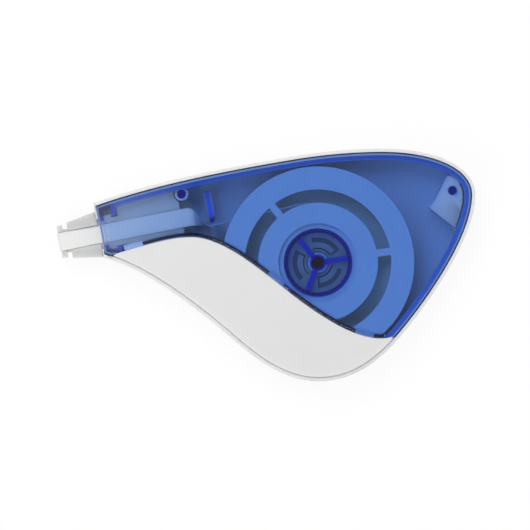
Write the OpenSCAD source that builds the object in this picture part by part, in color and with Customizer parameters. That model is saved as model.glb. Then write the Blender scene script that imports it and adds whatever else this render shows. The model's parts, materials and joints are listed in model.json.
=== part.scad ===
// Correction tape: a hand-held dispenser with two reels on one axle.
// The tape leaves the feed roll on edge, turns flat in the neck and goes round the tip of the head.
// Its bare backing returns under the head, round a guide wall, to the take-up reel behind the feed roll.
// Built lying on its back: X runs from the tip to the tail, Z from the back to the window.

/* [Tape] */
// Width of the tape
tape_w = 4.2; // [3.6:0.1:5.4]
// Thickness of the tape where it runs free
tape_t = 0.16; // [0.1:0.02:0.24]
// Radius of the full feed roll
roll_r = 13.8; // [12:0.1:15]
// Depth of backing already wound on the take-up drum
backing_depth = 0.4; // [0.2:0.1:1.2]
// Distance from the tip to the axle along the tape run
run_l = 58.3; // [54:0.1:66]
// Distance of the tape run's line from the axle
run_off = 16.2; // [15.5:0.05:17]
// Slope of the tape run and of the head
run_tilt = 11; // [8:0.5:14]
// Distance from the tip at which the tape starts to twist
flat_l = 30; // [27:0.5:32]

/* [Reels] */
// Outer radius of the feed core
core_r = 10; // [9.4:0.1:11.5]
// Outer radius of the take-up drum
drum_r = 20; // [18:0.1:21]
// Wall of the take-up drum
drum_wall = 1; // [0.8:0.1:1.6]
// Height of the take-up flanges over the drum
flange_lip = 2.4; // [1.8:0.1:3]
// Thickness of every reel flange
flange_t = 0.6; // [0.5:0.1:0.9]
// Inner radius of the slots in the feed flange
slot_in_r = 13.95; // [13:0.05:15]
// Outer radius of those slots
slot_out_r = 17.05; // [16:0.05:18.5]
// Width of a spoke between two slots and of a take-up spoke
spoke_w = 1.7; // [1.4:0.1:3.2]
// Thickness of a take-up spoke
spoke_t = 1.2; // [0.9:0.1:1.8]
// Number of spokes on each reel and on the window hub
spokes = 3; // [3:1:5]
// Angle of the first spoke
spoke_angle = 129; // [0:1:180]
// Wall of the take-up hub
hub_wall = 1.1; // [0.8:0.1:1.6]

/* [Clutch] */
// Teeth that lock the clutch plate in the feed core
teeth = 40; // [30:2:50]
// Radius at the root of the core teeth
tooth_root_r = 7.75; // [7.5:0.05:7.9]
// Height of a tooth
tooth_h = 0.55; // [0.4:0.05:0.7]
// Pocket left free beyond the clutch plate's teeth
tooth_gap = 0.4; // [0.2:0.05:0.45]
// Thickness of the clutch plate
clutch_t = 0.9; // [0.7:0.1:1.2]
// Spring arms on the clutch plate
arms = 3; // [2:1:4]
// Radius of the friction disc under the spring arms
friction_r = 6.2; // [5.6:0.1:6.5]

/* [Case] */
// Thickness of the back
floor_t = 1.2; // [1:0.1:2]
// Width of the white rim round the window
rim_t = 1.2; // [0.9:0.1:1.6]
// Width of the rim across the mouth
mouth_t = 0.4; // [0.3:0.05:0.6]
// Thickness of the window
window_t = 1.3; // [1:0.1:1.6]
// Wall of the window skirt
skirt_t = 1.2; // [0.9:0.1:1.4]
// Thickness of the grip panel
panel_t = 1.3; // [1:0.1:1.6]
// Depth of the window's and the panel's skirt below their surface
skirt_depth = 3.4; // [2.8:0.1:4.2]
// Depth of the rim below the window's surface
rim_drop = 0.9; // [0.5:0.1:1.2]
// Room between the reel and the rim at the top
top_room = 3; // [3:0.1:6]
// Room between the reel and the rim under the window's lower end
flank_room = 3.3; // [3:0.1:6]
// Room between the reel and the belly
belly_room = 5.2; // [4.8:0.1:8]
// Room between the reel and the throat
throat_room = 4.3; // [3.6:0.1:7]
// Tail's reach past the reel
tail_room = 14.2; // [10:0.1:20]
// Height of the tail above the axle
tail_y = 15.8; // [12:0.1:18]
// Crown's reach past the axle
crown_x = 15.1; // [12:0.1:18]
// Crown's height over the reel
crown_room = 4.1; // [3.6:0.1:7]
// Width of the lip along the seam between window and panel
lip_w = 1; // [0.7:0.1:1.4]
// Depth of that lip below the window
lip_h = 0.5; // [0.3:0.05:0.6]
// Length of a seam clip
clip_l = 4.4; // [3:0.1:6]

/* [Head] */
// Length of head outside the mouth
head_out = 9.6; // [8:0.1:13]
// Case above the tape run at the mouth
mouth_up = 7.35; // [7:0.05:9]
// Case below the tape run at the mouth
mouth_down = 5.45; // [5.2:0.05:7]
// Radius of the tip's edge
tip_r = 0.35; // [0.25:0.05:0.5]
// Half thickness of the head at its heel
heel_h = 2; // [1.6:0.1:2.3]
// Distance from the tip to the heel
heel_l = 12; // [11:0.1:13]
// Length of the whole head
head_l = 15.2; // [14.6:0.1:17]
// Thickness of the shelf that the head carries under the flat tape
shelf_t = 0.8; // [0.6:0.1:1.2]
// Half width over the ears at the tip
ear_w = 3.75; // [3.4:0.05:4.2]
// Half width over the rails where they start
rail_w0 = 4.2; // [3.8:0.05:4.8]
// Half width over the rails at the mouth
rail_w1 = 5.4; // [5:0.05:6]
// Length of an ear
ear_l = 1.3; // [1:0.05:1.6]
// Length of the notch behind an ear
notch_l = 1.1; // [0.8:0.05:1.5]

/* [Hub and pins] */
// Radius of the axle post
post_r = 2.4; // [2.2:0.05:2.8]
// Radius of the window's centre pin
pin_r = 1.4; // [1.1:0.05:1.6]
// Outer radius of the window's hub ring
ring_r = 7.95; // [7.8:0.05:8.3]
// Wall of the hub ring
ring_wall = 1; // [0.8:0.05:1.3]
// Radius of the dish round the hub ring in the feed flange
dish_r = 9.2; // [8.6:0.05:9.4]
// Depth of that dish
dish_h = 1.6; // [1:0.1:2]
// Width of a hub rib
rib_w = 1.25; // [0.8:0.05:1.5]
// Radius of the window's corner pins
corner_pin_r = 1; // [0.8:0.05:1.2]
// Radius of the panel's pins
panel_pin_r = 0.7; // [0.6:0.05:0.85]
// Wall round a pin hole
boss_wall = 0.55; // [0.45:0.05:0.8]
// Room between the pin bosses and the skirts
boss_drop = 0.3; // [0.2:0.1:1]
// Length of the centre pin or a panel pin inside its boss
pin_l = 4; // [2.5:0.1:5]
// Length of a corner pin inside its boss
corner_pin_l = 1.6; // [1.2:0.1:2.5]

/* [Clearances] */
// Radial clearance of a running fit
run_fit = 0.06; // [0.03:0.01:0.1]
// Clearance of a fixed fit
fit = 0.05; // [0.03:0.01:0.1]
// Seam between the case pieces
seam = 0.15; // [0.1:0.05:0.25]
// Room beside a piece that has to stay free
room = 0.3; // [0.2:0.05:0.4]
// Height of the tape over the surface it slides on
ride = 0.05; // [0.03:0.01:0.1]
// Axial gap under the take-up reel
axial_gap = 0.1; // [0.05:0.01:0.2]
// Axial gap between the two reels
reel_gap = 0.5; // [0.4:0.05:0.8]
// Gap between the feed core and the window
window_gap = 0.8; // [0.8:0.05:1.2]

/* [Hidden] */
$fn = 96;
curve_steps = 14;
tape_steps = 28;
turn_steps = 6;
far = 90;
over = 1;

// Heights from the back, piece by piece
side_gap = 0.2;
seat_h = 0.4;
root_z = floor_t / 2;
hole_floor_z = floor_t + 1;
seat_z = floor_t + seat_h;
take_up_z = seat_z + axial_gap;
drum_z = take_up_z + flange_t;
channel_h = tape_w + 2 * side_gap;
drum_top_z = drum_z + channel_h;
take_up_top_z = drum_top_z + flange_t;
feed_z = take_up_top_z + reel_gap;
feed_front_z = feed_z + channel_h;
feed_top_z = feed_front_z + flange_t;
under_z = feed_top_z + window_gap;
top_z = under_z + window_t;
backing_mid_z = drum_z + channel_h / 2;
tape_mid_z = feed_z + channel_h / 2;
head_z = (backing_mid_z + tape_mid_z) / 2;
ledge_t = 0.6;
clutch_z = feed_z + ledge_t;
clutch_top_z = clutch_z + clutch_t;
washer_t = 0.3;
friction_z = clutch_z - washer_t - side_gap;
arm_room = 0.9;
ring_z = clutch_top_z + arm_room;
post_top_z = ring_z + side_gap;
rib_z = post_top_z + room;
hang_z = top_z - window_t / 2;
skirt_z = top_z - skirt_depth;
boss_top_z = skirt_z - boss_drop;

// Radii worked out from the sizes above
flange_r = drum_r + flange_lip;
backing_r = drum_r + backing_depth;
feed_bore_r = ring_r + run_fit;
skirt_in = rim_t + seam + skirt_t;

// The tape run: s counts from the tip towards the feed roll, v to the left of it
run_dir = along(run_tilt);
run_left = along(run_tilt + 90);
tip = run_off * run_left - run_l * run_dir;

function along(a) = [cos(a), sin(a)];
function polar(r, a) = r * along(a);
function unit(v) = v / norm(v);
function right_of(e) = [e[1], -e[0]];
function on_run(s, v) = tip + s * run_dir + v * run_left;
function on_run3(s, v, z) = let (p = on_run(s, v)) [p[0], p[1], z];
function turn_run3(e) = let (p = e[0] * run_dir + e[1] * run_left) [p[0], p[1], e[2]];
function smooth(t) = let (c = min(max(t, 0), 1)) c * c * (3 - 2 * c);

// A curve goes through stations: place, heading, and how far the curve holds that heading before and after
function spans(st) = [for (i = [0 : len(st) - 2]) [
    st[i][0],
    st[i][0] + st[i][3] * along(st[i][1]),
    st[i + 1][0] - st[i + 1][2] * along(st[i + 1][1]),
    st[i + 1][0]]];
function bez(p, t) = pow(1 - t, 3) * p[0] + 3 * t * pow(1 - t, 2) * p[1]
    + 3 * t * t * (1 - t) * p[2] + pow(t, 3) * p[3];
function bez_dir(p, t) = unit(pow(1 - t, 2) * (p[1] - p[0]) + 2 * t * (1 - t) * (p[2] - p[1])
    + t * t * (p[3] - p[2]));
function trace(sp) = concat(
    [for (p = sp) for (k = [0 : curve_steps - 1]) bez(p, k / curve_steps)],
    [sp[len(sp) - 1][3]]);

// Outline of the case, clockwise from the top of the mouth to the bottom of it
nose_heading = run_tilt + 8.5;
chin_heading = 180 - run_tilt - 4;
rim_spans = spans([
    [on_run(head_out, mouth_up), nose_heading, 0, 15],
    [polar(flange_r + top_room, 104), 9.5, 16, 7],
    [[crown_x, flange_r + crown_room], 0, 7, 12.5],
    [[flange_r + tail_room, tail_y], -90, 6.5, 9],
    [polar(flange_r + flank_room, -40), -130, 12, 9],
    [[0, -flange_r - belly_room], 180, 8, 8],
    [polar(flange_r + throat_room, 221), 139, 7, 11],
    [on_run(head_out, -mouth_down), chin_heading, 10, 0]]);
function rim_outline(ext) = let (p = trace(rim_spans), last = len(p) - 1) concat(
    [p[0] - ext * along(nose_heading)],
    [for (i = [1 : last - 1]) p[i]],
    [p[last] + ext * along(chin_heading)]);
function inset(p, d) = [for (i = [0 : len(p) - 1])
    let (n = len(p),
         n1 = right_of(unit(p[i] - p[(i + n - 1) % n])),
         n2 = right_of(unit(p[(i + 1) % n] - p[i])))
    p[i] + d * (n1 + n2) / (1 + n1 * n2)];
function inner_outline(d, mouth_d) = inset(rim_outline(d - mouth_d), d);
function rim_point(i, t, d) = bez(rim_spans[i], t) + d * right_of(bez_dir(rim_spans[i], t));

// The seam between window and panel, from the mouth to the flank
seam_reach = 12;
seam_rise = 0.8;
hub_room = 1.95;
seam_spans = spans([
    [on_run(head_out + seam, seam - mouth_down), run_tilt + 3, 0, 7],
    [on_run(run_l - 27.8, seam_rise - mouth_down), run_tilt - 11, 6, 7],
    [polar(ring_r + hub_room, 215), -38.5, 8, 8.5],
    [polar(flange_r + seam, -51), 0, 6.5, 2],
    [polar(flange_r + flank_room + seam, -39.7), 18, 2, 0]]);
function seam_line(off) = let (
    p = trace(seam_spans),
    last = len(p) - 1,
    q = concat([p[0] - seam_reach * unit(p[1] - p[0])], p,
        [p[last] + seam_reach * unit(p[last] - p[last - 1])]))
    [for (i = [0 : last + 2])
        q[i] - off * right_of(unit(q[min(i + 1, last + 2)] - q[max(i - 1, 0)]))];
function over_seam(off) = concat(seam_line(off), [[far, far], [-far, far]]);
function under_seam(off) = concat(seam_line(-off), [[far, -far], [-far, -far]]);

// Places of the pins and clips: stretch of the outline or seam, place along it, depth inside it
front_pin = rim_point(0, 0.44, 3.6);
tail_pin = rim_point(2, 0.8, 5);
panel_pins = [rim_point(6, 0.25, 4.1), rim_point(5, 0, 2.9)];
clips = [[0, 0.335], [1, 0.9], [2, 0.83]];

// The guide wall that turns the backing down to the take-up reel
guide_r = 0.9;
guide_v = -2.6;
guide_l = 5;
guide_turn = 88;
strip_off = ride + tape_t / 2;
turn_r = guide_r + strip_off;
wind_r = backing_r + room + tape_t / 2;
guide_s = run_l - (wind_r + turn_r + (run_off + guide_v) * cos(guide_turn)) / sin(guide_turn);
divider_t = 1.6;
bar_v = 5;
bar_t = 1.15;
bar_lift = 1.6;
guide_at = on_run(guide_s, guide_v);
divider_top_z = tape_mid_z - tape_w / 2 - room;
bar_z = tape_mid_z + bar_lift;

// The tape is on edge where it passes the bar's lower end, and runs from there straight to the feed roll
edge_s = guide_s - bar_t / 2;
edge_v = guide_v - room - tape_t / 2;
edge_at = on_run(edge_s, edge_v);
tape_off = roll_r + room + tape_t / 2;
tape_tilt = asin(tape_off / norm(edge_at)) + atan2(-edge_at[1], -edge_at[0]);

// The head
bed_margin = 0.65;
bed_w = tape_w + 2 * bed_margin;
rail_t = 0.65;
rail_lap = 0.2;
rail_rise = 0.9;
ear_h = 0.8;
ear_flare = 0.1;
neck_w = bed_w / 2 + rail_t;
neck_h = heel_h + 0.4;
lug_w = neck_w + 0.75;
lug_s = head_out + mouth_t + seam;
lug_l = 2.95;
stop_s = lug_s + lug_l + seam;
stop_t = 1;

tip_x = min(on_run(0, ear_w)[0], tip[0] - ride - tape_t);
box_mid = [(flange_r + tail_room + tip_x) / 2, (crown_room - belly_room) / 2];

module placed() {
    translate([-box_mid[0], -box_mid[1], 0]) children();
}

module at_run(s, v, z) {
    translate(on_run3(s, v, z)) rotate(run_tilt) children();
}

module slab(z0, z1) {
    translate([0, 0, z0]) linear_extrude(z1 - z0) children();
}

module ring(r_out, r_in, z0, z1) {
    translate([0, 0, z0]) difference() {
        cylinder(r = r_out, h = z1 - z0);
        translate([0, 0, -over]) cylinder(r = r_in, h = z1 - z0 + 2 * over);
    }
}

module post(at, r, z0, z1) {
    translate([at[0], at[1], z0]) cylinder(r = r, h = z1 - z0);
}

module tray() {
    difference() {
        slab(0, top_z - rim_drop) polygon(rim_outline(0));
        slab(floor_t, top_z) polygon(inner_outline(rim_t, mouth_t));
    }
}

// A white pad under the window round the tail pin, by its corners from that pin
module tail_pad() {
    reach = [[-1.5, 2.6], [2.4, 1.6], [2.4, -4], [0.7, -8.8], [-5.2, -4.2]];
    slab(root_z, boss_top_z) intersection() {
        polygon([for (p = reach) tail_pin + p]);
        polygon(inner_outline(skirt_in + room, mouth_t));
    }
}

// The wall across the neck: the lower part turns the backing, the upper part keeps it off the tape
module divider() {
    post(guide_at, guide_r, root_z, divider_top_z);
    upper_v = guide_v + guide_r + 3 * room;
    for (v = [[guide_v - guide_l, guide_v], [upper_v, bar_v]])
        at_run(guide_s - divider_t / 2, v[0], root_z)
            cube([divider_t, v[1] - v[0], divider_top_z - root_z]);
}

// Two low ribs that carry the head's inner end
module cradle() {
    rib_t = 0.5;
    for (side = [-1, 1])
        at_run(lug_s, side * (neck_w - rib_t / 2) - rib_t / 2, root_z)
            cube([head_l - lug_s, rib_t, head_z - neck_h - ride - root_z]);
}

module mouth_opening(half_w, z0, z1) {
    at_run(head_out - over, -half_w, z0)
        cube([over + mouth_t + 2 * seam + skirt_t, 2 * half_w, z1 - z0]);
}

module back_shell() {
    color("white") placed() difference() {
        union() {
            tray();
            post([0, 0], post_r + hub_wall + room, root_z, seat_z);
            post([0, 0], post_r, root_z, post_top_z);
            post(front_pin, corner_pin_r + boss_wall, root_z, boss_top_z);
            for (p = panel_pins) post(p, panel_pin_r + boss_wall, root_z, boss_top_z);
            tail_pad();
            divider();
            cradle();
        }
        mouth_opening(neck_w + fit, head_z - neck_h - fit, top_z + over);
        post([0, 0], pin_r + fit, hole_floor_z, top_z);
        for (p = [front_pin, tail_pin])
            post(p, corner_pin_r + fit, boss_top_z - corner_pin_l - fit, top_z);
        for (p = panel_pins) post(p, panel_pin_r + fit, hole_floor_z, top_z);
    }
}

// What the window covers: all inside the rim above the seam
module window_plan() {
    intersection() {
        polygon(inner_outline(rim_t + seam, mouth_t + seam));
        polygon(over_seam(seam / 2));
    }
}

// What the panel covers: all inside the rim below the seam
module panel_plan() {
    intersection() {
        polygon(inner_outline(rim_t + seam, mouth_t + seam));
        polygon(under_seam(seam / 2));
    }
}

// A clip's place across the seam: its length along the seam, and its reach to each side
module clip_plan(c, l, from_v, to_v) {
    p = bez(seam_spans[c[0]], c[1]);
    e = bez_dir(seam_spans[c[0]], c[1]);
    translate(p) rotate(atan2(e[1], e[0]))
        translate([-l / 2, from_v]) square([l, to_v - from_v]);
}

// Blue window: a shallow lid with a skirt along the rim and a lip along the seam
module window_lid() {
    inner = inner_outline(skirt_in, mouth_t + seam + skirt_t);
    difference() {
        slab(skirt_z, top_z) window_plan();
        slab(0, under_z - lip_h) polygon(inner);
        slab(skirt_z, under_z) intersection() {
            polygon(inner);
            polygon(over_seam(seam / 2 + lip_w));
        }
        for (c = clips) slab(under_z - lip_h - fit, under_z)
            clip_plan(c, clip_l + 2 * fit, -lip_w, 2 * lip_w);
        mouth_opening(bed_w / 2, 0, under_z);
    }
}

// Ring, ribs, pins and stops that hang from the window
module window_fittings() {
    pin_shoulder = 0.5;
    ring(ring_r, ring_r - ring_wall, ring_z, hang_z);
    post([0, 0], pin_r + pin_shoulder, post_top_z + fit, hang_z);
    post([0, 0], pin_r, post_top_z - pin_l, hang_z);
    for (i = [0 : spokes - 1]) rotate(spoke_angle + i * 360 / spokes)
        translate([0, -rib_w / 2, rib_z]) cube([ring_r - ring_wall / 2, rib_w, hang_z - rib_z]);
    for (p = [front_pin, tail_pin]) post(p, corner_pin_r, boss_top_z - corner_pin_l, hang_z);
    at_run(guide_s - bar_t / 2, guide_v, bar_z) cube([bar_t, bar_v - guide_v, hang_z - bar_z]);
    stop_z = head_z + neck_h / 2;
    for (v = [[neck_w + room, mouth_up], [-mouth_down - over, -neck_w - room]])
        at_run(stop_s, v[0], stop_z) cube([stop_t, v[1] - v[0], hang_z - stop_z]);
}

module window_cover() {
    color("royalblue", 0.55) placed() {
        window_lid();
        intersection() {
            window_fittings();
            slab(0, top_z) window_plan();
        }
    }
}

// White panel under the seam, with clips that reach below the window
module grip_panel() {
    inner = inner_outline(rim_t + seam + panel_t, mouth_t);
    panel_under_z = top_z - panel_t;
    color("whitesmoke") placed() {
        difference() {
            slab(skirt_z, top_z) panel_plan();
            slab(0, panel_under_z - lip_h) polygon(inner);
            slab(skirt_z, panel_under_z) intersection() {
                polygon(inner);
                polygon(under_seam(seam / 2 + lip_w));
            }
        }
        for (c = clips) slab(under_z - lip_h, under_z - fit) clip_plan(c, clip_l, -lip_w, lip_w + seam);
        for (p = panel_pins) post(p, panel_pin_r, boss_top_z - pin_l, hang_z);
    }
}

// Outline of the head's bed seen from the side, from the tip's round to its inner end
module bed_side() {
    translate([tip_r, 0]) circle(r = tip_r);
    polygon([[tip_r, tip_r], [heel_l, heel_h], [head_l, heel_h],
             [head_l, -heel_h], [heel_l, -heel_h], [tip_r, -tip_r]]);
}

module across(w0, w1) {
    translate([0, w1, 0]) rotate([90, 0, 0]) linear_extrude(w1 - w0) children();
}

// A rail that guides one edge of the tape, with an ear at the tip
module rail(side) {
    b = bed_w / 2 - rail_lap;
    rail_end = head_out - seam;
    rail_start = ear_l + notch_l;
    intersection() {
        translate([0, 0, -far / 2]) linear_extrude(far) {
            polygon([[0, side * b], [0, side * ear_w],
                     [ear_l, side * (ear_w + ear_flare)], [ear_l, side * b]]);
            polygon([[rail_start, side * b], [rail_start, side * rail_w0],
                     [rail_end, side * rail_w1], [rail_end, side * b]]);
            polygon([[rail_end - over, side * b], [rail_end - over, side * neck_w],
                     [head_l, side * neck_w], [head_l, side * b]]);
            polygon([[lug_s, side * b], [lug_s, side * lug_w],
                     [lug_s + lug_l, side * lug_w], [lug_s + lug_l, side * b]]);
        }
        across(-far, far) polygon([[0, ear_h], [rail_end, heel_h + rail_rise], [rail_end, neck_h],
            [head_l, neck_h], [head_l, -neck_h], [rail_end, -neck_h],
            [rail_end, -heel_h - rail_rise], [0, -ear_h]]);
    }
}

// The shelf fills the neck behind the window's stops and ends where the tape starts to twist
module tape_shelf() {
    from_s = stop_s + stop_t + room;
    to_s = flat_l - 3 * room;
    half_w = mouth_up + mouth_down;
    bed_top_z = head_z + heel_h;
    slab(bed_top_z - shelf_t, bed_top_z) difference() {
        intersection() {
            polygon([on_run(from_s, -half_w), on_run(to_s, -half_w),
                     on_run(to_s, half_w), on_run(from_s, half_w)]);
            polygon(inner_outline(rim_t + room, mouth_t));
        }
        translate(front_pin) circle(r = corner_pin_r + boss_wall + room);
    }
}

module applicator_head() {
    color("white") placed() {
        at_run(0, 0, head_z) {
            across(-bed_w / 2, bed_w / 2) bed_side();
            for (side = [-1, 1]) rail(side);
        }
        tape_shelf();
    }
}

// Ring of teeth, as a star with points at two radii
function star(r_in, r_out) = [for (i = [0 : 2 * teeth - 1])
    polar(i % 2 == 0 ? r_out : r_in, i * 180 / teeth)];

// The slots that leave only spokes between the inner and the outer part of the feed flange
module flange_slots() {
    difference() {
        ring(slot_out_r, slot_in_r, feed_front_z - over, feed_top_z + over);
        for (i = [0 : spokes - 1]) rotate(spoke_angle + i * 360 / spokes)
            translate([0, -spoke_w / 2, feed_z]) cube([flange_r, spoke_w, top_z - feed_z]);
    }
}

// The tooth spaces beyond the clutch plate go on through the ledge, so that the mould draws straight
module tooth_pockets() {
    slab(0, clutch_z + over) difference() {
        polygon(star(tooth_root_r - tooth_h, tooth_root_r));
        circle(r = tooth_root_r - tooth_gap);
    }
}

// Feed core with its slotted front flange, and with teeth and a ledge inside that carry the clutch plate
module feed_reel() {
    color("aliceblue") placed() {
        difference() {
            union() {
                post([0, 0], core_r, feed_z, feed_top_z);
                post([0, 0], flange_r, feed_front_z, feed_top_z);
            }
            post([0, 0], friction_r + room, 0, top_z);
            slab(clutch_z, clutch_top_z + over) polygon(star(tooth_root_r - tooth_h, tooth_root_r));
            tooth_pockets();
            post([0, 0], feed_bore_r, clutch_top_z + side_gap, top_z);
            post([0, 0], dish_r, feed_top_z - dish_h, top_z);
            flange_slots();
        }
    }
}

module feed_roll() {
    color("white") placed()
        ring(roll_r, core_r, feed_z + side_gap, feed_front_z - side_gap);
}

// Plate with spring arms, cut free by an arc slot outside each arm and a hooked slit inside it
module clutch_plate() {
    arm_in = post_r + 1.1;
    arm_w = 1.3;
    arm_out = arm_in + arm_w;
    slit = 0.35;
    slot_w = 1.1;
    bump_r = 0.45;
    first_arm = 30;
    hook_sweep = 5;
    slot_sweep = 75;
    slit_sweep = slot_sweep + hook_sweep;
    color("gainsboro") placed() difference() {
        union() {
            slab(clutch_z, clutch_top_z)
                polygon(star(tooth_root_r - tooth_h - fit, tooth_root_r - tooth_gap));
            for (i = [0 : arms - 1]) rotate(i * 360 / arms + first_arm + 2 * hook_sweep)
                translate([arm_in + arm_w / 2, 0, clutch_z - side_gap + fit])
                    cylinder(r = bump_r, h = clutch_t);
        }
        post([0, 0], post_r + room, 0, top_z);
        for (i = [0 : arms - 1]) rotate(i * 360 / arms + first_arm) {
            arc_cut(arm_out, slot_w, slot_sweep);
            arc_cut(arm_in - slit, slit, slit_sweep);
            arc_cut(arm_in - slit, arm_w + 2 * slit, hook_sweep);
        }
    }
}

// A cut through the clutch plate along an arc: its inner radius, width and sweep
module arc_cut(r, w, sweep) {
    translate([0, 0, feed_z]) rotate_extrude(angle = sweep)
        translate([r, 0]) square([w, clutch_top_z - feed_z + over]);
}

module friction_washer() {
    color("dimgray") placed()
        ring(friction_r - room, post_r + hub_wall - room, friction_z, friction_z + washer_t);
}

// Take-up reel: hub, friction disc, spokes, drum and front flange
module take_up_reel() {
    hub_r = post_r + run_fit + hub_wall;
    color("white") placed() {
        ring(hub_r, post_r + run_fit, take_up_z, friction_z);
        ring(friction_r, hub_r - hub_wall / 2, take_up_top_z - flange_t, friction_z);
        for (i = [0 : spokes - 1]) rotate(spoke_angle + i * 360 / spokes) difference() {
            translate([0, -spoke_w / 2, take_up_top_z - spoke_t])
                cube([drum_r - drum_wall / 2, spoke_w, spoke_t]);
            post([0, 0], hub_r - hub_wall / 2, 0, top_z);
        }
        ring(drum_r, drum_r - drum_wall, drum_z, take_up_top_z);
        ring(flange_r, drum_r - drum_wall, drum_top_z, take_up_top_z);
    }
}

// Back flange, with a spigot inside the drum
module take_up_flange() {
    spigot_h = 0.8;
    color("white") placed() {
        ring(flange_r, post_r + run_fit + hub_wall + fit, take_up_z, drum_z);
        ring(drum_r - drum_wall - fit, drum_r - 2 * drum_wall, drum_z - flange_t / 2, drum_z + spigot_h);
    }
}

module backing_roll() {
    color("ghostwhite") placed()
        ring(backing_r, drum_r, drum_z + side_gap, drum_top_z - side_gap);
}

// A flat strip through sections, each a centre, the direction of its width and that of its thickness.
// Opposite faces are split along the same diagonal, so that a twist doesn't bring them through each other.
module strip(sections) {
    n = len(sections);
    corners = [[-1, -1], [1, -1], [1, 1], [-1, 1]];
    points = [for (q = sections) for (c = corners)
        q[0] + c[0] * tape_w / 2 * q[1] + c[1] * tape_t / 2 * q[2]];
    sides = [for (i = [0 : n - 2]) for (k = [0 : 3])
        let (a = 4 * i + k, b = 4 * i + (k + 1) % 4) each k < 2
            ? [[a, b, b + 4], [a, b + 4, a + 4]]
            : [[a, b, a + 4], [b, b + 4, a + 4]]];
    last = 4 * n - 4;
    ends = [[0, 2, 1], [0, 3, 2], [last, last + 1, last + 2], [last, last + 2, last + 3]];
    polyhedron(points, [for (f = concat(sides, ends)) [f[0], f[2], f[1]]]);
}

// Sections round the tip and along the bed; up is 1 on the window side and -1 on the back
bed_slope = atan2(heel_h - tip_r, heel_l - tip_r);
function tip_sections(up) = [for (k = [0 : turn_steps])
    let (b = k / turn_steps * (90 - bed_slope), r = tip_r + strip_off, e = [-cos(b), 0, up * sin(b)])
    [on_run3(tip_r, 0, head_z) + r * turn_run3(e), turn_run3([0, 1, 0]), turn_run3(up * e)]];
function heel_section(up) = let (e = [-sin(bed_slope / 2), 0, up * cos(bed_slope / 2)])
    [on_run3(heel_l, 0, head_z + up * heel_h) + strip_off * turn_run3(e),
     turn_run3([0, 1, 0]), turn_run3(up * e)];
function twist_section(s, v, z, twist) = [on_run3(s, v, z),
    turn_run3([0, cos(twist), sin(twist)]), turn_run3([0, -sin(twist), cos(twist)])];

module tape_run() {
    heel_z = head_z + heel_h + strip_off;
    wound = polar(tape_off, tape_tilt + 90);
    color("white") placed() strip(concat(tip_sections(1), [heel_section(1)], [
        for (k = [1 : tape_steps]) let (
            s = heel_l + k / tape_steps * (edge_s - heel_l),
            z = heel_z + (tape_mid_z - heel_z) * k / tape_steps,
            twist = 90 * smooth((s - flat_l) / (edge_s - flat_l)))
        twist_section(s, edge_v * (1 - cos(twist)), z, twist)], [
        [[wound[0], wound[1], tape_mid_z], [0, 0, 1], [-wound[0] / tape_off, -wound[1] / tape_off, 0]]]));
}

module backing_run() {
    heel_z = head_z - heel_h - strip_off;
    turn_v = guide_v + turn_r;
    free_s = head_l + room;
    settle_l = 1.5;
    leave = run_tilt - guide_turn;
    last_place = polar(wind_r, leave - 90);
    color("lightcyan") placed() strip(concat(tip_sections(-1), [heel_section(-1)], [
        for (k = [1 : tape_steps]) let (
            s = heel_l + k / tape_steps * (guide_s - heel_l),
            z = heel_z + (backing_mid_z - heel_z) * smooth(k / tape_steps))
        twist_section(s, turn_v * smooth((s - free_s) / (guide_s - free_s)), z,
            90 * smooth((s - free_s) / (guide_s - settle_l - free_s)))], [
        for (k = [1 : turn_steps]) let (
            a = run_tilt + 90 + k / turn_steps * (leave - run_tilt),
            p = guide_at + polar(turn_r, a))
        [[p[0], p[1], backing_mid_z], [0, 0, 1], [-cos(a), -sin(a), 0]]], [
        [[last_place[0], last_place[1], backing_mid_z], [0, 0, 1],
         [-cos(leave + 90), -sin(leave + 90), 0]]]));
}

back_shell();
window_cover();
grip_panel();
applicator_head();
feed_reel();
feed_roll();
clutch_plate();
friction_washer();
take_up_reel();
take_up_flange();
backing_roll();
tape_run();
backing_run();
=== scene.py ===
import json
import math

import bmesh
import bpy
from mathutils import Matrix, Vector
from mathutils.bvhtree import BVHTree


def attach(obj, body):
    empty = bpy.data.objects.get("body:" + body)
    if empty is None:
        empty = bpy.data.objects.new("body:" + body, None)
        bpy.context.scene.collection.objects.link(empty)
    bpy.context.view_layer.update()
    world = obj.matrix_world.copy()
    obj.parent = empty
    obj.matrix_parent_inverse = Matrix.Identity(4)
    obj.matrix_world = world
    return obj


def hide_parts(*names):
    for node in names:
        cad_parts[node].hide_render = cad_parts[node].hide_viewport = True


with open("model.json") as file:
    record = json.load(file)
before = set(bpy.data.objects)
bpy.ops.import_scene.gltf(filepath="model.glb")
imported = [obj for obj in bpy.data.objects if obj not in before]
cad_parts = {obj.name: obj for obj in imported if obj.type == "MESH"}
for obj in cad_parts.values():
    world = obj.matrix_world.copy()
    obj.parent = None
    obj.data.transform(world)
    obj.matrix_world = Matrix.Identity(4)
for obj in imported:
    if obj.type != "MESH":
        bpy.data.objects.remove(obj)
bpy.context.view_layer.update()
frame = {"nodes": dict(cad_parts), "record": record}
nodes = frame["nodes"]
mm = 0.001
axle = Vector((12.2178, 0.55, 0)) * mm  # both reels turn about this point
tilt = math.radians(11)  # of the straight run from the tip to the reels
runDir = Vector((math.cos(tilt), math.sin(tilt), 0))
mouthWay = -runDir
up = Vector((0, 0, 1))
print("frame loaded:", len(nodes), "nodes")


# Shader sockets and finishes

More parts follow.
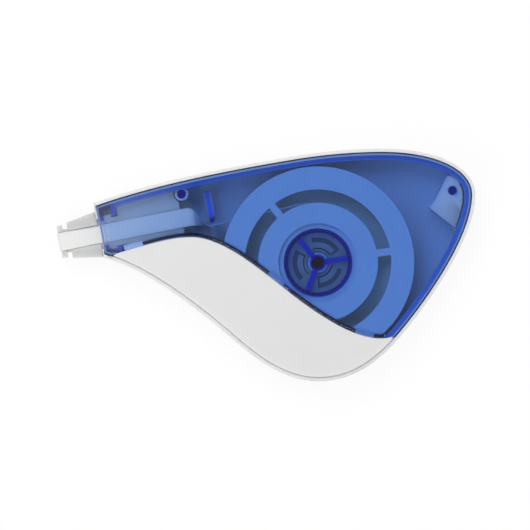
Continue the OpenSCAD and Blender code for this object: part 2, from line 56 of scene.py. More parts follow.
class Wire:
    def __init__(self, finish, socket):
        self.finish = finish
        self.socket = socket

    def sum(self, operation, first, second):
        return self.finish.node("Math", {"operation": operation}, {0: first, 1: second})

    def __add__(self, other):
        return self.sum("ADD", self, other)

    __radd__ = __add__

    def __sub__(self, other):
        return self.sum("SUBTRACT", self, other)

    def __rsub__(self, other):
        return self.sum("SUBTRACT", other, self)

    def __mul__(self, other):
        return self.sum("MULTIPLY", self, other)

    __rmul__ = __mul__

    def __truediv__(self, other):
        return self.sum("DIVIDE", self, other)

    def __rtruediv__(self, other):
        return self.sum("DIVIDE", other, self)


class Finish:
    def __init__(self, name):
        self.material = bpy.data.materials.new(name)
        self.material.use_nodes = True
        self.tree = self.material.node_tree
        self.tree.nodes.clear()

    # Gives one output of the new node, or a list where several are asked for
    def node(self, kind, settings=None, sockets=None, out=0):
        made = self.tree.nodes.new("ShaderNode" + kind)
        for key, value in (settings or {}).items():
            setattr(made, key, value)
        for key, value in (sockets or {}).items():
            into = made.inputs[key]
            if isinstance(value, Wire):
                self.tree.links.new(value.socket, into)
            else:
                into.default_value = value
        if isinstance(out, tuple):
            return [Wire(self, made.outputs[o]) for o in out]
        return Wire(self, made.outputs[out])

    def place(self):
        return self.node("TexCoord", out="Object")

    def flatPlace(self):
        return self.node("SeparateXYZ", {}, {0: self.place()}, out=(0, 1))

    def rays(self, *kinds):
        return self.node("LightPath", out=tuple("Is " + kind + " Ray" for kind in kinds))

    def noise(self, scale, detail=2.0, roughness=0.5):
        return self.node("TexNoise", {}, {"Vector": self.place(), "Scale": scale,
                                          "Detail": detail, "Roughness": roughness})

    def between(self, factor, first, second):
        return self.node("Mix", {"data_type": "RGBA"}, {0: factor, 6: first, 7: second}, out=2)

    def bump(self, height, strength, distance):
        return self.node("Bump", {}, {"Height": height, "Strength": strength, "Distance": distance})

    def shader(self, surface, volume=None):
        sockets = {"Surface": surface}
        if volume:
            sockets["Volume"] = volume
        self.node("OutputMaterial", {}, sockets, out=())
        return self.material


def rgb(red, green, blue):
    return (red, green, blue, 1.0)


# How far each bump stands out
bumpHeight = {"grain": 0.02 * mm, "ripple": 0.05 * mm, "turn": 0.04 * mm, "speck": 0.02 * mm}


# Moulded plastic: a faint flow pattern in the colour and a fine spark-eroded grain
def mouldedPlastic(name, look):
    f = Finish(name)
    flow = f.noise(look["flowScale"], detail=3.0)
    grain = f.noise(look["grainScale"], roughness=0.6)
    colour = f.between(flow, look["light"], look["dark"])
    rough = grain * look["roughSpread"] + (look["rough"] - look["roughSpread"] / 2)
    return f.shader(f.node("BsdfPrincipled", {}, {
        "Base Color": colour,
        "Roughness": rough,
        "IOR": look["ior"],
        "Subsurface Weight": look.get("glow", 0.0),
        "Subsurface Radius": (1.0, 1.0, 1.0),
        "Subsurface Scale": look.get("glowDepth", 0.001),
        "Normal": f.bump(grain, look["grainDepth"], bumpHeight["grain"])}))


# Clear blue plastic: lamps pass straight through it, and its depth takes the red and green out
def clearPlastic(name, look):
    f = Finish(name)
    ripple = f.noise(look["rippleScale"], detail=1.0)
    haze = f.noise(look["hazeScale"], detail=3.0)
    glass = f.node("BsdfPrincipled", {}, {
        "Base Color": look["surface"],
        "Roughness": haze * look["hazeSpread"] + look["rough"],
        "IOR": look["ior"],
        "Transmission Weight": 1.0,
        "Normal": f.bump(ripple, look["rippleDepth"], bumpHeight["ripple"])})
    lampSide = f.node("BsdfTransparent", {}, {"Color": look["lampTint"]})
    shadow, diffuse = f.rays("Shadow", "Diffuse")
    lit = f.node("MixShader", {}, {0: shadow, 1: glass, 2: lampSide})
    seen = f.node("MixShader", {}, {0: diffuse, 1: lit, 2: lampSide})
    depth = f.node("VolumeAbsorption", {}, {"Color": look["depthColour"], "Density": look["depth"]})
    return f.shader(seen, depth)


# Side of a wound roll: one fine line for each few turns, and slightly uneven edges
def woundTape(name, look):
    f = Finish(name)
    x, y = f.flatPlace()
    dx, dy = x - axle.x, y - axle.y
    radius = f.node("Math", {"operation": "SQRT"}, {0: dx * dx + dy * dy})
    wobble = f.noise(look["wobbleScale"]) * look["wobble"]
    turn = f.node("Math", {"operation": "SINE"}, {0: (radius + wobble) * look["turnsPerMetre"]})
    mottle = f.noise(look["mottleScale"], detail=3.0)
    shade = turn * look["turnShare"] + mottle * (1 - look["turnShare"])
    return f.shader(f.node("BsdfPrincipled", {}, {
        "Base Color": f.between(shade, look["light"], look["dark"]),
        "Roughness": mottle * look["roughSpread"] + look["rough"],
        "Normal": f.bump(turn, look["lineDepth"], bumpHeight["turn"])}))


# Thin tape: a chalky coating or a bare waxed backing, with faint streaks
def tapeFilm(name, look):
    f = Finish(name)
    speck = f.noise(look["speckScale"], detail=4.0, roughness=0.65)
    streak = f.noise(look["streakScale"])
    shade = streak * look["streakShare"] + speck * (1 - look["streakShare"])
    return f.shader(f.node("BsdfPrincipled", {}, {
        "Base Color": f.between(shade, look["light"], look["dark"]),
        "Roughness": speck * look["roughSpread"] + look["rough"],
        "Normal": f.bump(speck, look["speckDepth"], bumpHeight["speck"])}))


# One finish for each of the record's slots
finishes = {
    "case_white": mouldedPlastic("caseWhite", {
        "light": rgb(0.73, 0.73, 0.73), "dark": rgb(0.69, 0.69, 0.692), "flowScale": 40.0,
        "grainScale": 2600.0, "grainDepth": 0.12, "rough": 0.34, "roughSpread": 0.12, "ior": 1.5,
        "glow": 0.6, "glowDepth": 0.002}),
    "panel_white": mouldedPlastic("panelWhite", {
        "light": rgb(0.70, 0.70, 0.70), "dark": rgb(0.67, 0.67, 0.672), "flowScale": 28.0,
        "grainScale": 3000.0, "grainDepth": 0.10, "rough": 0.30, "roughSpread": 0.10, "ior": 1.5,
        "glow": 0.6, "glowDepth": 0.002}),
    "head_white": mouldedPlastic("headWhite", {
        "light": rgb(0.57, 0.57, 0.57), "dark": rgb(0.53, 0.53, 0.53), "flowScale": 160.0,
        "grainScale": 4200.0, "grainDepth": 0.06, "rough": 0.26, "roughSpread": 0.08, "ior": 1.48,
        "glow": 1.0, "glowDepth": 0.003}),
    "reel_plastic": mouldedPlastic("reelNatural", {
        "light": rgb(0.86, 0.88, 0.74), "dark": rgb(0.81, 0.83, 0.69), "flowScale": 90.0,
        "grainScale": 2400.0, "grainDepth": 0.10, "rough": 0.42, "roughSpread": 0.14, "ior": 1.5}),
    "clutch_plastic": mouldedPlastic("clutchNatural", {
        "light": rgb(0.34, 0.37, 0.29), "dark": rgb(0.27, 0.30, 0.23), "flowScale": 220.0,
        "grainScale": 3600.0, "grainDepth": 0.10, "rough": 0.40, "roughSpread": 0.12, "ior": 1.48}),
    "washer_rubber": mouldedPlastic("washerRubber", {
        "light": rgb(0.20, 0.20, 0.22), "dark": rgb(0.14, 0.14, 0.15), "flowScale": 400.0,
        "grainScale": 5200.0, "grainDepth": 0.25, "rough": 0.75, "roughSpread": 0.15, "ior": 1.42}),
    "window_blue": clearPlastic("windowBlue", {
        "surface": rgb(1.0, 1.0, 1.0), "rough": 0.02, "hazeSpread": 0.03, "hazeScale": 60.0,
        "rippleScale": 120.0, "rippleDepth": 0.04, "ior": 1.5, "lampTint": rgb(0.95, 0.95, 0.95),
        "depthColour": rgb(0.03, 0.41, 0.90), "depth": 900.0}),
    "tape_white": tapeFilm("tapeCoating", {
        "light": rgb(0.76, 0.76, 0.74), "dark": rgb(0.71, 0.71, 0.69), "speckScale": 2600.0,
        "streakScale": 380.0, "streakShare": 0.6, "speckDepth": 0.15, "rough": 0.55, "roughSpread": 0.2}),
    "backing_film": tapeFilm("bareBacking", {
        "light": rgb(0.80, 0.85, 0.88), "dark": rgb(0.72, 0.78, 0.82), "speckScale": 1800.0,
        "streakScale": 300.0, "streakShare": 0.6, "speckDepth": 0.08, "rough": 0.30, "roughSpread": 0.2}),
}
rollSide = woundTape("rollSide", {
    "light": rgb(0.90, 0.91, 0.93), "dark": rgb(0.80, 0.82, 0.86), "turnsPerMetre": 24000.0,
    "turnShare": 0.3, "wobbleScale": 240.0, "wobble": 0.0002, "mottleScale": 130.0, "lineDepth": 0.2,
    "rough": 0.55, "roughSpread": 0.15})

# Finishes of single faces: a painted shadow for the dark line round the window, a painted highlight for its pale
# edge, and its dull undersides
details = {
    # Painted shadow: near-black paint that stands in for the shade in the narrow gaps beside the window
    "paintedGapShadow": mouldedPlastic("paintedGapShadow", {
        "light": rgb(0.012, 0.014, 0.026), "dark": rgb(0.006, 0.007, 0.014), "flowScale": 300.0,
        "grainScale": 3000.0, "grainDepth": 0.1, "rough": 0.5, "roughSpread": 0.1, "ior": 1.5}),
    # Painted highlight: pale blue paint that stands in for the bright line along the window's rounded edge
    "paintedEdgeHighlight": mouldedPlastic("paintedEdgeHighlight", {
        "light": rgb(0.10, 0.20, 0.50), "dark": rgb(0.08, 0.17, 0.44), "flowScale": 120.0,
        "grainScale": 3000.0, "grainDepth": 0.05, "rough": 0.40, "roughSpread": 0.10, "ior": 1.45}),
    "frosted": mouldedPlastic("frosted", {
        "light": rgb(0.80, 0.80, 0.80), "dark": rgb(0.72, 0.72, 0.72), "flowScale": 120.0,
        "grainScale": 2000.0, "grainDepth": 0.2, "rough": 0.70, "roughSpread": 0.10, "ior": 1.45}),
}
print("finishes made:", len([*finishes, *details, rollSide]))


# Meshes

meshing = {"weld": 2e-7, "flatAngle": 0.3, "bendAngle": 30, "cutNear": 1e-7, "sameLevel": 1e-6, "nearLevel": 1e-5,
           "upright": 0.01, "facingDown": -0.9}


def cadCopy(node):
    bm = bmesh.new()
    bm.from_mesh(nodes[node].data)
    bmesh.ops.remove_doubles(bm, verts=bm.verts, dist=meshing["weld"])
    bmesh.ops.dissolve_limit(bm, angle_limit=math.radians(meshing["flatAngle"]), verts=bm.verts, edges=bm.edges)
    return bm


def same(first, second, near="sameLevel"):
    return abs(first - second) < meshing[near]


def lowest(face):
    return min(v.co.z for v in face.verts)


def highest(face):
    return max(v.co.z for v in face.verts)


def upright(face):
    return abs(face.normal.z) < meshing["upright"]


def facesDown(face):
    return face.normal.z < meshing["facingDown"]


# An upright wall that ends at this level or above it
def reaches(face, z):
    return upright(face) and highest(face) > z - meshing["sameLevel"]


def bends(edge, least=meshing["bendAngle"]):
    return len(edge.link_faces) == 2 and edge.calc_face_angle(0) > math.radians(least)


# Edges at a level that turn by more than this many degrees
def levelEdges(bm, z, least=meshing["bendAngle"]):
    return [e for e in bm.edges if all(same(v.co.z, z) for v in e.verts) and bends(e, least)]


def roundEdges(bm, edges, radius, segments):
    bmesh.ops.bevel(bm, geom=edges, offset=radius, offset_type="OFFSET", segments=segments,
                    profile=0.5, affect="EDGES", clamp_overlap=True)


def splitFaces(bm, faces, at, normal=up):
    around = dict.fromkeys(g for f in faces for g in (f, *f.edges, *f.verts))
    bmesh.ops.bisect_plane(bm, geom=list(around), dist=meshing["cutNear"], plane_co=at, plane_no=normal)


# Each corner of the faces, with the mean of their normals there
def waysOut(faces):
    ways = {}
    for f in faces:
        for v in f.verts:
            ways[v] = ways.get(v, Vector()) + f.normal
    return {v: way.normalized() for v, way in ways.items()}


def pushFaces(faces, distance):
    for v, way in waysOut(faces).items():
        v.co += distance * way


def paint(faces, detail):
    for f in faces:
        f.material_index = 1 + list(details).index(detail)


def addMesh(name, bm):
    mesh = bpy.data.meshes.new(name)
    bm.to_mesh(mesh)
    bm.free()
    made = bpy.data.objects.new(name, mesh)
    bpy.context.scene.collection.objects.link(made)
    return made


def piece(name, bm, body, slot, replaced, finish=None, sharp=32):
    made = addMesh(name, bm)
    for face in made.data.polygons:
        face.use_smooth = True
    made.data.set_sharp_from_angle(angle=math.radians(sharp))
    made.data.materials.append(finish or finishes[slot])
    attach(made, body)
    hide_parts(replaced)
    return made


# A moulded piece with rounded edges, and the finishes of its single faces
def moulding(name, bm, body, slot, replaced, painted=()):
    made = piece(name, bm, body, slot, replaced)
    for detail in painted:
        made.data.materials.append(details[detail])
    even = made.modifiers.new("evenNormals", "WEIGHTED_NORMAL")
    even.keep_sharp = True
    even.weight = 50


# The window and the panel close the tray, and coverBeside says which of them lies beside a wall
covers = {"top": 15.3 * mm, "reach": 0.6 * mm, "mouthFacing": 0.95}
coverTrees = {node: BVHTree.FromBMesh(cadCopy(node)) for node in ("window_cover", "grip_panel")}


def coverBeside(wall, reach=covers["reach"], place=None):
    if place is None:
        place = wall.calc_center_median()
    beside = place + reach * wall.normal.to_2d().normalized().to_3d()
    above = Vector((beside.x, beside.y, 2 * covers["top"]))
    for node, tree in coverTrees.items():
        hit = tree.ray_cast(above, -up)[0]
        if hit is not None and hit.z > covers["top"] - meshing["nearLevel"]:
            return node
    return None


# White tray: full round along the back edge and a small one outside the rim. Inside, the rim is cut back
# near its top, with a chamfer painted black as the shadow of the gap where the window meets it, and the pad in the
# tail reaches under the window
backShell = {
    "backRound": 2.0 * mm, "backSteps": 6, "rimTop": 14.4 * mm, "rimRound": 0.35 * mm, "rimSteps": 4, "rimAngle": 60,
    "chamfer": 0.17 * mm, "rabbet": 0.28 * mm, "rabbetUnder": 11.7 * mm, "rabbetStep": 0.02 * mm,
    "padTop": Vector((43.6, 19.5)) * mm, "padWay": Vector((0.248, 0.969, 0)), "padFacing": 0.99,
    "padReach": 1.0 * mm, "padLonger": 1.0 * mm}
bm = cadCopy("back_shell")
roundEdges(bm, levelEdges(bm, 0), backShell["backRound"], backShell["backSteps"])


# Walls inside the rim, apart from the thin one at the mouth
def insideRim():
    return [f for f in bm.faces if reaches(f, backShell["rimTop"])
            and f.normal.dot(mouthWay) > -covers["mouthFacing"] and coverBeside(f)]


# A rim edge with no cover on its wall's side
def outsideRim(edge):
    wall = min(edge.link_faces, key=lambda f: abs(f.normal.z))
    return coverBeside(wall, place=(edge.verts[0].co + edge.verts[1].co) / 2) is None


padWall = [f for f in bm.faces if f.normal.dot(backShell["padWay"]) > backShell["padFacing"]
           and (f.calc_center_median().to_2d() - backShell["padTop"]).length < backShell["padReach"]]
pushFaces(padWall, backShell["padLonger"])
for step in (0, backShell["rabbetStep"]):
    splitFaces(bm, insideRim(), (backShell["rabbetUnder"] + step) * up)
pushFaces(insideRim(), -backShell["rabbet"])
splitFaces(bm, insideRim(), (backShell["rimTop"] - backShell["chamfer"]) * up)
# The chamfer beside the window gets a painted shadow: black paint for the shade of the gap to the window
slope = [f for f in insideRim() if coverBeside(f) == "window_cover"]
paint(slope, "paintedGapShadow")
for v, way in waysOut(slope).items():
    if v.co.z > backShell["rimTop"] - meshing["sameLevel"]:
        v.co -= backShell["chamfer"] * way
bm.normal_update()
outside = [e for e in levelEdges(bm, backShell["rimTop"], backShell["rimAngle"]) if outsideRim(e)]
roundEdges(bm, outside, backShell["rimRound"], backShell["rimSteps"])
moulding("backShell", bm, "case", "case_white", "back_shell", ["paintedGapShadow"])
print("back shell made:", len(slope), "faces in the dark line,", len(padWall), "pad wall")

# Blue window: a rounded top edge, with a painted highlight along the rim. The edge along the seam is cut away below
# and painted black as shade, and a ledge painted black as the gap's shadow closes the gap to the rim. The plate is
# thinner over the neck and the tail's pad, the skirt and the stops are shorter than in the solid, and they and the
# ribs have dull undersides
blueWindow = {
    "edgeRound": 0.4 * mm, "edgeSteps": 5, "litReach": 1.0 * mm, "litSlope": (0.02, 0.999),
    "cutFrom": 14.28 * mm, "cutSlope": (-0.9, -0.3), "lipUnder": 13.5 * mm,
    "ledge": 14.3 * mm, "ledgeFall": 0.02 * mm, "wallOut": 0.28 * mm, "ledgeOut": 0.40 * mm,
    "skirtUnder": 11.9 * mm, "skirtSeen": 13.3 * mm, "skirtLength": 20 * mm,
    "stopUnder": 8.65 * mm, "stopSeen": 12.3 * mm, "ribUnder": 10.9 * mm,
    "plateUnder": 14.0 * mm, "thinUnder": 14.57 * mm, "neckEnd": -14.2 * mm,
    "padCorners": ((42.57, 20.95), (38.32, 13.14), (44.22, 8.54))}
bm = cadCopy("window_cover")
for f in bm.faces:
    spread = max((v.co - f.verts[0].co).length for v in f.verts)
    if facesDown(f) and same(f.verts[0].co.z, blueWindow["skirtUnder"]) and spread > blueWindow["skirtLength"]:
        for v in f.verts:
            v.co.z = blueWindow["skirtSeen"]
for v in bm.verts:
    if same(v.co.z, blueWindow["stopUnder"], "nearLevel"):
        v.co.z = blueWindow["stopSeen"]


def underPlate():
    return [f for f in bm.faces if facesDown(f) and all(same(v.co.z, blueWindow["plateUnder"]) for v in f.verts)]


# The plate is thinner inside all of these cuts, each a place and the way inward
def thinPlate(cuts):
    for at, inward in cuts:
        splitFaces(bm, underPlate(), at, inward)
    thin = [f for f in underPlate() if all((f.calc_center_median() - at).dot(inward) > 0 for at, inward in cuts)]
    for g in bmesh.ops.extrude_face_region(bm, geom=thin)["geom"]:
        if isinstance(g, bmesh.types.BMVert):
            g.co.z = blueWindow["thinUnder"]
    bmesh.ops.delete(bm, geom=thin, context="FACES")
    bm.normal_update()


pad = [Vector((*corner, 0)) * mm for corner in blueWindow["padCorners"]]  # anticlockwise
thinPlate([(blueWindow["neckEnd"] * runDir, mouthWay)])
thinPlate([(a, up.cross(b - a)) for a, b in zip(pad, pad[1:])])


# Walls of the window that face the panel across the seam
def alongSeam():
    return [f for f in bm.faces if reaches(f, covers["top"]) and coverBeside(f) == "grip_panel"]


# The walls are split at the clips, where the edge stays whole
for at, normal in [(v.co.copy(), f.normal.copy()) for f in alongSeam() for v in f.verts
                   if same(v.co.z, blueWindow["plateUnder"])]:
    near = [f for f in alongSeam() if any(same((v.co - at).length, 0) for v in f.verts)]
    splitFaces(bm, near, at, normal.cross(up))
seamWalls = alongSeam()
lipWays = waysOut(f for f in seamWalls if same(lowest(f), blueWindow["lipUnder"]))
splitFaces(bm, seamWalls, blueWindow["cutFrom"] * up)
for v, way in lipWays.items():
    if v.is_valid and v.co.z < blueWindow["cutFrom"] - meshing["sameLevel"]:
        v.co -= (blueWindow["cutFrom"] - v.co.z) * way
bm.normal_update()
# The cut faces along the seam get a painted shadow: black paint for the dark band where the window meets the panel
least, most = blueWindow["cutSlope"]
paint([f for f in bm.faces if least < f.normal.z < most and same(lowest(f), blueWindow["lipUnder"])
       and highest(f) < blueWindow["cutFrom"] + meshing["sameLevel"]], "paintedGapShadow")


# Walls that reach the top and face the rim
def alongRim():
    seam = alongSeam()
    return [f for f in bm.faces if reaches(f, covers["top"])
            and f.normal.dot(mouthWay) < covers["mouthFacing"] and f not in seam]


for fall in (blueWindow["ledgeFall"], 0):
    splitFaces(bm, alongRim(), (blueWindow["ledge"] - fall) * up)
upper = alongRim()
ledge = [f for f in bm.faces if upright(f) and f not in upper and same(highest(f), blueWindow["ledge"])
         and lowest(f) > blueWindow["ledge"] - 1.5 * blueWindow["ledgeFall"]]
for v, way in waysOut(upper + ledge).items():
    low = v.co.z < blueWindow["ledge"] - meshing["sameLevel"]
    v.co += blueWindow["ledgeOut" if low else "wallOut"] * way
# The ledge gets a painted shadow: black paint for the shade at the bottom of the gap to the rim
paint(ledge, "paintedGapShadow")
bm.normal_update()
for under in ("ribUnder", "stopSeen", "skirtSeen"):
    paint([f for f in bm.faces if facesDown(f)
           and same(f.calc_center_median().z, blueWindow[under], "nearLevel")], "frosted")
roundEdges(bm, levelEdges(bm, covers["top"]), blueWindow["edgeRound"], blueWindow["edgeSteps"])
# The rounded edge faces along the rim get a painted highlight: pale blue paint for the bright line of the edge
least, most = blueWindow["litSlope"]
lit = [f for f in bm.faces if least < f.normal.z < most
       and f.calc_center_median().z > covers["top"] - blueWindow["edgeRound"]
       and coverBeside(f, blueWindow["litReach"]) != "grip_panel"]
paint(lit, "paintedEdgeHighlight")
moulding("blueWindow", bm, "case", "window_blue", "window_cover", details)
print("window made:", len(seamWalls), "walls along the seam,", len(lit), "faces in the pale line")

# White panel below the seam: its walls stand closer to the rim, and its top edge is rounded
gripPanel = {"edgeRound": 0.4 * mm, "edgeSteps": 4, "closer": 0.38 * mm}
bm = cadCopy("grip_panel")
pushFaces([f for f in bm.faces if reaches(f, covers["top"]) and coverBeside(f) is None], gripPanel["closer"])
bm.normal_update()
roundEdges(bm, levelEdges(bm, covers["top"]), gripPanel["edgeRound"], gripPanel["edgeSteps"])
moulding("gripPanel", bm, "case", "panel_white", "grip_panel")
print("panel made")

# Applicator head: the rails stand close to the tape, and every moulded edge is broken
applicatorHead = {"edgeRound": 0.12 * mm, "edgeSteps": 2, "closer": 0.32 * mm, "reach": 0.2 * mm,
                  "deepest": 2.0 * mm, "lean": 0.1}
bm = cadCopy("applicator_head")
bed = BVHTree.FromBMesh(bm)


# A wall of a rail that has the bed at its foot
def besideBed(face):
    if abs(face.normal.z) > applicatorHead["lean"]:
        return False
    beside = face.calc_center_median() + applicatorHead["reach"] * face.normal
    beside.z = highest(face)
    drop = bed.ray_cast(beside, -up)[3]
    return drop is not None and drop < applicatorHead["deepest"]


railWalls = [f for f in bm.faces if besideBed(f)]
pushFaces(railWalls, applicatorHead["closer"])
bm.normal_update()
roundEdges(bm, [e for e in bm.edges if bends(e)], applicatorHead["edgeRound"], applicatorHead["edgeSteps"])
moulding("applicatorHead", bm, "case", "head_white", "applicator_head")
print("head made:", len(railWalls), "walls beside the tape")

for node in ("feed_reel", "clutch_plate", "friction_washer", "take_up_reel", "take_up_flange"):
    slot = next(s["material_slot"] for s in frame["record"]["subparts"] if s["node"] == node)
    nodes[node].data.materials.clear()
    nodes[node].data.materials.append(finishes[slot])
print("reels dressed")


# The two strips of tape, by the same route as in part.scad, in more and smoother steps

# Millimetres, along and beside the run from the tip
route = {
    "runLength": 58.3, "runOff": 16.2, "width": 4.2, "thick": 0.16, "off": 0.13,
    "headLevel": 7.45, "tipRound": 0.35, "heel": 12.0, "heelHalf": 2.0, "tapeLevel": 10.3, "backingLevel": 4.6,
    "flat": 30.0, "edge": 35.4268, "edgeSide": -2.98, "roll": 14.18,
    "free": 15.5, "guide": 36.0018, "guideSide": -2.6, "guideRound": 1.03, "guideTurn": math.radians(88),
    "settle": 1.5, "drum": 20.78,
    "tipSteps": 10, "heelSteps": 6, "tapeSteps": 90, "backingSteps": 80, "guideSteps": 12, "lastSteps": 8}
runLeft = Vector((-runDir.y, runDir.x, 0))
centre = axle / mm
tip = centre + route["runOff"] * runLeft - route["runLength"] * runDir
quarter = math.pi / 2


def onRun(s, v, z):
    return tip + s * runDir + v * runLeft + z * up


def smooth(t):
    t = min(max(t, 0.0), 1.0)
    return t * t * (3 - 2 * t)


def turned(angle):
    return Vector((math.cos(angle), math.sin(angle), 0))


def shares(steps):
    return [k / steps for k in range(1, steps + 1)]


# A place on the strip: its centre, the direction across it and the direction out of its face
def twisted(s, v, z, twist):
    return (onRun(s, v, z), math.cos(twist) * runLeft + math.sin(twist) * up,
            -math.sin(twist) * runLeft + math.cos(twist) * up)


def straight(places, end, across, out, steps):
    start = places[-1][0]
    places += [(start.lerp(end, t), across, out) for t in shares(steps)]


# Round the tip and up to the heel, on the front or back of the head
def headPlaces(side):
    slope = math.atan2(route["heelHalf"] - route["tipRound"], route["heel"] - route["tipRound"])
    middle = onRun(route["tipRound"], 0, route["headLevel"])
    places = []
    for t in [0.0] + shares(route["tipSteps"]):
        b = t * (quarter - slope)
        out = -math.cos(b) * runDir + side * math.sin(b) * up
        places.append((middle + (route["tipRound"] + route["off"]) * out, runLeft, side * out))
    heelOut = -math.sin(slope / 2) * runDir + side * math.cos(slope / 2) * up
    heel = onRun(route["heel"], 0, route["headLevel"] + side * route["heelHalf"]) + route["off"] * heelOut
    straight(places, heel, runLeft, side * heelOut, route["heelSteps"])
    return places


def tapePlaces():
    heelLevel = route["headLevel"] + route["heelHalf"] + route["off"]
    places = headPlaces(1)
    for t in shares(route["tapeSteps"]):
        s = route["heel"] + t * (route["edge"] - route["heel"])
        twist = quarter * smooth((s - route["flat"]) / (route["edge"] - route["flat"]))
        places.append(twisted(s, route["edgeSide"] * (1 - math.cos(twist)),
                              heelLevel + (route["tapeLevel"] - heelLevel) * t, twist))
    toAxle = centre + route["tapeLevel"] * up - places[-1][0]
    lean = math.asin(route["roll"] / toAxle.length) + math.atan2(toAxle.y, toAxle.x)
    wound = centre + route["roll"] * turned(lean + quarter) + route["tapeLevel"] * up
    straight(places, wound, up, -turned(lean + quarter), route["lastSteps"])
    return places


def backingPlaces():
    heelLevel = route["headLevel"] - route["heelHalf"] - route["off"]
    side = route["guideSide"] + route["guideRound"]
    places = headPlaces(-1)
    for t in shares(route["backingSteps"]):
        s = route["heel"] + t * (route["guide"] - route["heel"])
        swing = smooth((s - route["free"]) / (route["guide"] - route["free"]))
        twist = quarter * smooth((s - route["free"]) / (route["guide"] - route["settle"] - route["free"]))
        places.append(twisted(s, side * swing,
                              heelLevel + (route["backingLevel"] - heelLevel) * smooth(t), twist))
    guide = onRun(route["guide"], route["guideSide"], route["backingLevel"])
    for t in shares(route["guideSteps"]):
        out = turned(tilt + quarter - t * route["guideTurn"])
        places.append((guide + route["guideRound"] * out, up, -out))
    leave = tilt - route["guideTurn"]
    wound = centre + route["drum"] * turned(leave - quarter) + route["backingLevel"] * up
    straight(places, wound, up, -turned(leave + quarter), route["lastSteps"])
    return places


# A closed band of faces between each two rows of corners
def joinRows(bm, pairs):
    for first, second in pairs:
        for i in range(len(first)):
            j = (i + 1) % len(first)
            bm.faces.new((first[i], second[i], second[j], first[j]))


def strip(name, places, slot, replaced):
    bm = bmesh.new()
    rows = []
    for middle, across, out in places:
        halfW, halfT = route["width"] / 2 * across, route["thick"] / 2 * out
        corners = [middle - halfW - halfT, middle - halfT, middle + halfW - halfT,
                   middle + halfW + halfT, middle + halfT, middle - halfW + halfT]
        rows.append([bm.verts.new(c * mm) for c in corners])
    joinRows(bm, zip(rows, rows[1:]))
    bm.faces.new(rows[0])
    bm.faces.new(list(reversed(rows[-1])))
    bmesh.ops.recalc_face_normals(bm, faces=bm.faces)
    piece(name, bm, "case", slot, replaced)


strip("whiteTape", tapePlaces(), "tape_white", "tape_run")
strip("backingTape", backingPlaces(), "backing_film", "backing_run")
print("tape strips made")

# Wound tape: rings whose sides show the edges of the turns as fine steps, in millimetres
tapeRoll = {"inner": 10.0, "outer": 13.8, "low": 8.2, "high": 12.4, "turns": 24, "dip": 0.05,
            "flatShare": 0.8, "uneven": 12.9898, "steps": 128, "sharp": 20}
backingTurns = {"inner": 20.0, "outer": 20.4, "low": 2.5, "high": 6.7, "turns": 6, "dip": 0.05,
                "flatShare": 0.8, "uneven": 12.9898, "steps": 160, "sharp": 20}


def woundRing(name, look, body, slot, replaced, finish):
    bm = bmesh.new()
    thick = (look["outer"] - look["inner"]) / look["turns"]
    side = []
    for k in range(look["turns"]):
        r = look["inner"] + k * thick
        dip = look["dip"] * (0.5 + 0.5 * math.sin(look["uneven"] * k))
        side += [(r, dip), (r + look["flatShare"] * thick, dip)]
    side.append((look["outer"], 0.0))
    profile = [(r, look["high"] - d) for r, d in side] + [(r, look["low"] + d) for r, d in reversed(side)]
    rings = []
    for k in range(look["steps"]):
        around = turned(2 * math.pi * k / look["steps"])
        rings.append([bm.verts.new((centre + r * around + z * up) * mm) for r, z in profile])
    joinRows(bm, zip(rings, rings[1:] + rings[:1]))
    bmesh.ops.recalc_face_normals(bm, faces=bm.faces)
    piece(name, bm, body, slot, replaced, finish, look["sharp"])


woundRing("tapeRoll", tapeRoll, "feed", "tape_white", "feed_roll", rollSide)
woundRing("backingTurns", backingTurns, "take_up", "backing_film", "backing_roll", finishes["backing_film"])
print("wound rolls made")


# Stage

stage = {"floorSize": 3.0, "floorDrop": 0.2 * mm, "paper": rgb(0.9, 0.9, 0.9), "paperRough": 0.8,
         "white": rgb(1.0, 1.0, 1.0), "black": rgb(0.0, 0.0, 0.0), "glow": 0.90, "sky": 0.45}
bm = bmesh.new()
bmesh.ops.create_grid(bm, x_segments=1, y_segments=1, size=stage["floorSize"])
floor = addMesh("floor", bm)
floor.location.z = -stage["floorDrop"]
f = Finish("paleFloor")
paper = f.node("BsdfPrincipled", {}, {"Base Color": stage["paper"], "Roughness": stage["paperRough"]})
glow = f.node("Emission", {}, {"Color": stage["white"], "Strength": 1.0})
looked = sum(f.rays("Camera", "Glossy", "Transmission"))
seen = f.node("Math", {"operation": "MINIMUM"}, {0: looked, 1: 1.0}) * stage["glow"]
floor.data.materials.append(f.shader(f.node("MixShader", {}, {0: seen, 1: paper, 2: glow})))

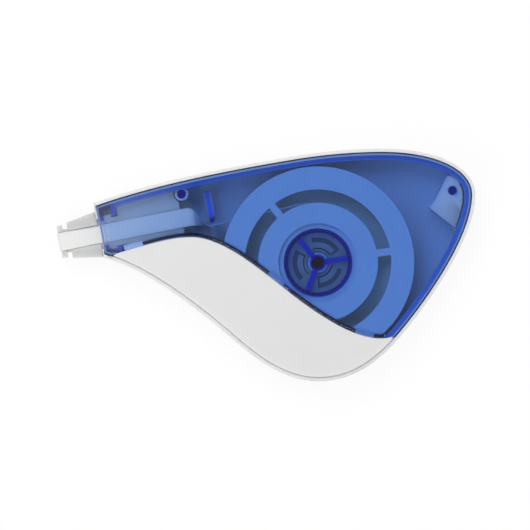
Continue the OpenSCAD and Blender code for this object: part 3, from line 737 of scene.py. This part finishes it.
# Light card beside the lens, which the window mirrors in its neck; it fades towards the reel and the panel
neckCard = {"dim": -0.0215, "full": -0.0471, "end": -0.0580, "low": -0.030, "lowFull": -0.020, "high": 0.07,
            "height": 0.62, "strength": 1.6}
bm = bmesh.new()
corners = [("dim", "low"), ("end", "low"), ("end", "high"), ("dim", "high")]
bm.faces.new([bm.verts.new((neckCard[x], neckCard[y], neckCard["height"])) for x, y in corners])
lightCard = addMesh("neckCard", bm)
lightCard.visible_camera = False
f = Finish("neckCard")
x, y = f.flatPlace()
along = f.node("Clamp", {}, {"Value": (x - neckCard["dim"]) / (neckCard["full"] - neckCard["dim"])})
across = f.node("Clamp", {}, {"Value": (y - neckCard["low"]) / (neckCard["lowFull"] - neckCard["low"])})
colour = f.between(along * across, stage["black"], stage["white"])
lightCard.data.materials.append(f.shader(f.node("Emission", {}, {"Color": colour, "Strength": neckCard["strength"]})))

world = bpy.data.worlds.new("studio")
bpy.context.scene.world = world
world.use_nodes = True
sky = world.node_tree.nodes["Background"]
sky.inputs["Color"].default_value = stage["white"]
sky.inputs["Strength"].default_value = stage["sky"]

lamps = {
    "key": {"at": (-0.24, 0.42, 1.15), "size": 0.55, "power": 6.7},
    "fill": {"at": (-0.38, -0.40, 1.02), "size": 0.55, "power": 3.3},
    "tail": {"at": (0.60, 0.08, 0.85), "size": 0.45, "power": 1.15},
}
for name, lamp in lamps.items():
    light = bpy.data.lights.new(name, "AREA")
    light.size = lamp["size"]
    light.energy = lamp["power"]
    holder = bpy.data.objects.new(name, light)
    holder.location = lamp["at"]
    holder.rotation_mode = "QUATERNION"
    holder.rotation_quaternion = (-Vector(lamp["at"])).to_track_quat("-Z", "Y")
    bpy.context.scene.collection.objects.link(holder)

# Straight above the part, so far off that the frame is this wide at the rim's level
camera = {"lens": 400.0, "sensor": 36.0, "width": 123.256 * mm, "level": 14.4 * mm, "centre": -0.116 * mm}
lens = bpy.data.cameras.new("camera")
lens.lens = camera["lens"]
lens.sensor_width = camera["sensor"]
viewer = bpy.data.objects.new("camera", lens)
viewer.location = (camera["centre"], 0, camera["level"] + camera["width"] * camera["lens"] / camera["sensor"])
bpy.context.scene.collection.objects.link(viewer)
bpy.context.scene.camera = viewer
bpy.context.scene.view_settings.view_transform = "Standard"
print("stage set")
